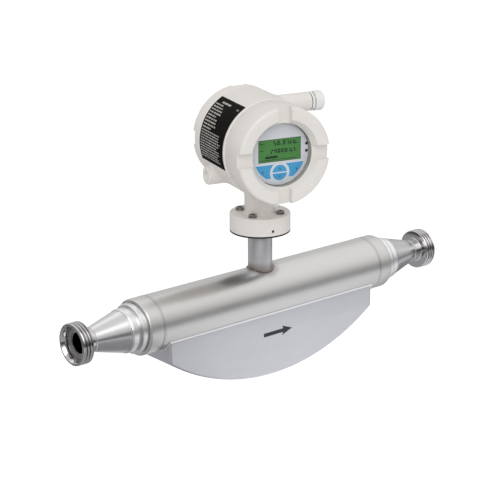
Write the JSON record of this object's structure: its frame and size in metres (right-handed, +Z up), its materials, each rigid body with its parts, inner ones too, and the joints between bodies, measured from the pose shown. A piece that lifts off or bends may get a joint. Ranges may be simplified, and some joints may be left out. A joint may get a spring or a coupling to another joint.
{
  "type": "coriolis flow meter",
  "caption": "Hygienic inline mass flow meter: round stainless housing tube with a curved belly, threaded process ends, and a round swivelling transmitter on a stem.",
  "frame": {"origin": "centre of the inlet fitting's end face, on the flow axis", "axes": "+X along the flow towards the outlet, -Y towards the front with the arrow, +Z up along the stem"},
  "size_m": [0.582, 0.165, 0.3594],
  "materials": {
    "polished_steel": "polished stainless",
    "satin_steel": "bead blasted stainless",
    "paint": "powder coated casting",
    "seal_black": "matt elastomer",
    "clamp_black": "black oxide steel",
    "dark_screw": "weathered steel screws",
    "plain_screw": "plain steel screws",
    "coil": "wound copper on a bobbin",
    "magnet": "plated magnet",
    "ceramic": "sensor body",
    "header": "gold plated pins in a steel disc",
    "white_plastic": "sliding washer",
    "window": "clear toughened glass",
    "face_grey": "display face",
    "lcd": "green liquid crystal panel",
    "key_blue": "blue touch keys",
    "dark_plastic": "dark optical windows",
    "potting": "potted electronics",
    "terminal_green": "moulded terminal block",
    "gland_grey": "light grey cable gland",
    "plate_black": "black name plate"
  },
  "bodies": {
    "sensor": {"inlet_fitting": "polished_steel", "outlet_fitting": "polished_steel", "inlet_seal_ring": "seal_black", "outlet_seal_ring": "seal_black", "inlet_reducer": "polished_steel", "outlet_reducer": "polished_steel", "inlet_splitter": "satin_steel", "outlet_splitter": "satin_steel", "housing_tube": "satin_steel", "belly_shell": "satin_steel", "measuring_tube_front": "polished_steel", "measuring_tube_rear": "polished_steel", "inlet_brace_plate": "polished_steel", "outlet_brace_plate": "polished_steel", "drive_coil": "coil", "drive_magnet": "magnet", "inlet_pickoff_coil": "coil", "inlet_pickoff_magnet": "magnet", "outlet_pickoff_coil": "coil", "outlet_pickoff_magnet": "magnet", "temperature_sensor": "ceramic", "stem": "satin_steel", "feedthrough": "header", "swivel_plate": "polished_steel", "swivel_o_ring": "seal_black", "thrust_washer": "white_plastic"},
    "transmitter": {"transmitter_housing": "paint", "clamp_ring": "clamp_black", "clamp_screws": "dark_screw", "swivel_lock_screw": "dark_screw", "front_lock_screw": "plain_screw", "rear_lock_screw": "plain_screw", "display_module": "face_grey", "lcd_panel": "lcd", "touch_keys": "key_blue", "sensor_windows": "dark_plastic", "electronics_module": "potting", "terminal_block": "terminal_green", "terminal_screws": "plain_screw", "ground_screw": "header", "gland_body": "gland_grey", "gland_gasket": "seal_black", "gland_seal": "seal_black", "blanking_plug": "gland_grey", "plug_o_ring": "seal_black", "nameplate": "plate_black"},
    "front_seal": {"front_o_ring": "seal_black"},
    "front_cover": {"front_cover": "paint", "front_window": "window", "window_retainer": "clamp_black"},
    "rear_seal": {"rear_o_ring": "seal_black"},
    "rear_cover": {"rear_cover": "paint"},
    "gland_disc": {"gland_dust_disc": "seal_black"},
    "gland_nut": {"gland_nut": "gland_grey"}
  },
  "joints": [
    {"name": "transmitter_swivel", "type": "hinge", "parent": "sensor", "child": "transmitter", "pos_m": [0.291, 0, 0.09], "axis": [0, 0, 1], "range_deg": [-150, 180]},
    {"name": "front_cover_travel", "type": "slide", "parent": "transmitter", "child": "front_seal", "axis": [-0.2588, -0.9659, 0], "range_m": [0, 0.0121]},
    {"name": "front_cover_turn", "type": "hinge", "parent": "front_seal", "child": "front_cover", "pos_m": [0.291, 0, 0.1953], "axis": [-0.2588, -0.9659, 0], "range_deg": [0, 2160]},
    {"name": "rear_cover_travel", "type": "slide", "parent": "transmitter", "child": "rear_seal", "axis": [0.2588, 0.9659, 0], "range_m": [0, 0.0121]},
    {"name": "rear_cover_turn", "type": "hinge", "parent": "rear_seal", "child": "rear_cover", "pos_m": [0.291, 0, 0.1953], "axis": [0.2588, 0.9659, 0], "range_deg": [0, 2160]},
    {"name": "gland_nut_travel", "type": "slide", "parent": "transmitter", "child": "gland_disc", "axis": [0.9659, -0.2588, 0], "range_m": [0, 0.0091]},
    {"name": "gland_nut_turn", "type": "hinge", "parent": "gland_disc", "child": "gland_nut", "pos_m": [0.29773, 0.02511, 0.2355], "axis": [0.9659, -0.2588, 0], "range_deg": [0, 2160]}
  ],
  "couplings": [
    {"joint": "front_cover_travel", "follows": "front_cover_turn", "m_per_rad": 0.00031831},
    {"joint": "rear_cover_travel", "follows": "rear_cover_turn", "m_per_rad": 0.00031831},
    {"joint": "gland_nut_travel", "follows": "gland_nut_turn", "m_per_rad": 0.00023873}
  ]
}
